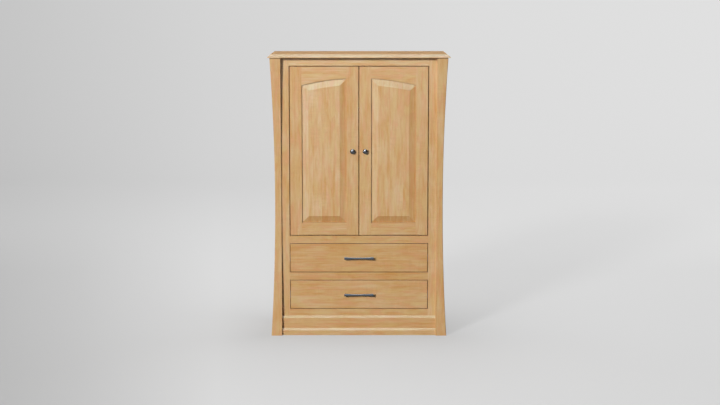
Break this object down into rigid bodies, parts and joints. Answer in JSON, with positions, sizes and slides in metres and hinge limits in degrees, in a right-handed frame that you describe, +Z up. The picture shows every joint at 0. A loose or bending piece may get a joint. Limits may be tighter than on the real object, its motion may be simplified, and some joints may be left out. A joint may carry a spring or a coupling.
{
  "type": "tv armoire",
  "caption": "Television armoire with arched raised-panel doors over inset drawers, flared corner pillars, a bevelled top and stepped base moulding.",
  "frame": {"origin": "on the floor, at the middle of the footprint", "axes": "+Z up; the doors and drawers face -Y; +X to the right as seen from the front"},
  "size_m": [1.168, 0.508, 1.829],
  "materials": {
    "maple": "clear semi-gloss lacquer on honey maple",
    "plywood": "clear satin lacquer on maple-faced plywood",
    "poplar": "unfinished planed hardwood",
    "drawer_maple": "clear satin lacquer on pale maple",
    "pewter": "dark satin pewter plate",
    "zinc_steel": "bright zinc plate",
    "catch_plastic": "matte brown"
  },
  "bodies": {
    "root": {"top_board": "maple", "top_rail": "maple", "middle_rail": "maple", "drawer_rail": "maple", "bottom_rail": "maple", "base_board_front": "maple", "base_shoe_front": "maple", "tv_shelf": "maple", "pillar_front_left": "maple", "pillar_rear_left": "maple", "side_panel_left": "maple", "face_stile_left": "maple", "base_board_left": "maple", "base_shoe_left": "maple", "pillar_front_right": "maple", "pillar_rear_right": "maple", "side_panel_right": "maple", "face_stile_right": "maple", "base_board_right": "maple", "base_shoe_right": "maple", "back_panel": "plywood", "case_bottom": "plywood", "tv_deck": "plywood", "panel_cleats": "poplar", "slide_bearers": "poplar", "pivot_plates": "pewter", "shelf_pins": "zinc_steel", "slide_case_members": "zinc_steel", "magnetic_catch": "catch_plastic"},
    "door_left": {"door_left_hinge_stile": "maple", "door_left_lock_stile": "maple", "door_left_top_rail": "maple", "door_left_bottom_rail": "maple", "door_left_panel": "maple", "knob_left": "pewter", "pivot_leaves_left": "pewter", "strike_left": "zinc_steel"},
    "door_right": {"door_right_hinge_stile": "maple", "door_right_lock_stile": "maple", "door_right_top_rail": "maple", "door_right_bottom_rail": "maple", "door_right_panel": "maple", "knob_right": "pewter", "pivot_leaves_right": "pewter", "strike_right": "zinc_steel"},
    "drawer_upper": {"drawer_upper_front": "maple", "drawer_upper_sides": "drawer_maple", "drawer_upper_back": "drawer_maple", "drawer_upper_bottom": "plywood", "drawer_upper_pull": "pewter", "slide_drawer_members_upper": "zinc_steel"},
    "slide_middle_upper": {"slide_mid_members_upper": "zinc_steel"},
    "drawer_lower": {"drawer_lower_front": "maple", "drawer_lower_sides": "drawer_maple", "drawer_lower_back": "drawer_maple", "drawer_lower_bottom": "plywood", "drawer_lower_pull": "pewter", "slide_drawer_members_lower": "zinc_steel"},
    "slide_middle_lower": {"slide_mid_members_lower": "zinc_steel"}
  },
  "joints": [
    {"name": "door_left_swing", "type": "hinge", "parent": "root", "child": "door_left", "pos_m": [-0.4385, -0.202, 1.2055], "axis": [0, 0, -1], "range_deg": [0, 110]},
    {"name": "door_right_swing", "type": "hinge", "parent": "root", "child": "door_right", "pos_m": [0.4385, -0.202, 1.2055], "axis": [0, 0, 1], "range_deg": [0, 110]},
    {"name": "drawer_upper_travel", "type": "slide", "parent": "root", "child": "drawer_upper", "axis": [0, -1, 0], "range_m": [0, 0.38]},
    {"name": "slide_middle_upper_travel", "type": "slide", "parent": "root", "child": "slide_middle_upper", "axis": [0, -1, 0], "range_m": [0, 0.19]},
    {"name": "drawer_lower_travel", "type": "slide", "parent": "root", "child": "drawer_lower", "axis": [0, -1, 0], "range_m": [0, 0.38]},
    {"name": "slide_middle_lower_travel", "type": "slide", "parent": "root", "child": "slide_middle_lower", "axis": [0, -1, 0], "range_m": [0, 0.19]}
  ],
  "couplings": [
    {"joint": "slide_middle_upper_travel", "follows": "drawer_upper_travel", "ratio": 0.5},
    {"joint": "slide_middle_lower_travel", "follows": "drawer_lower_travel", "ratio": 0.5}
  ]
}
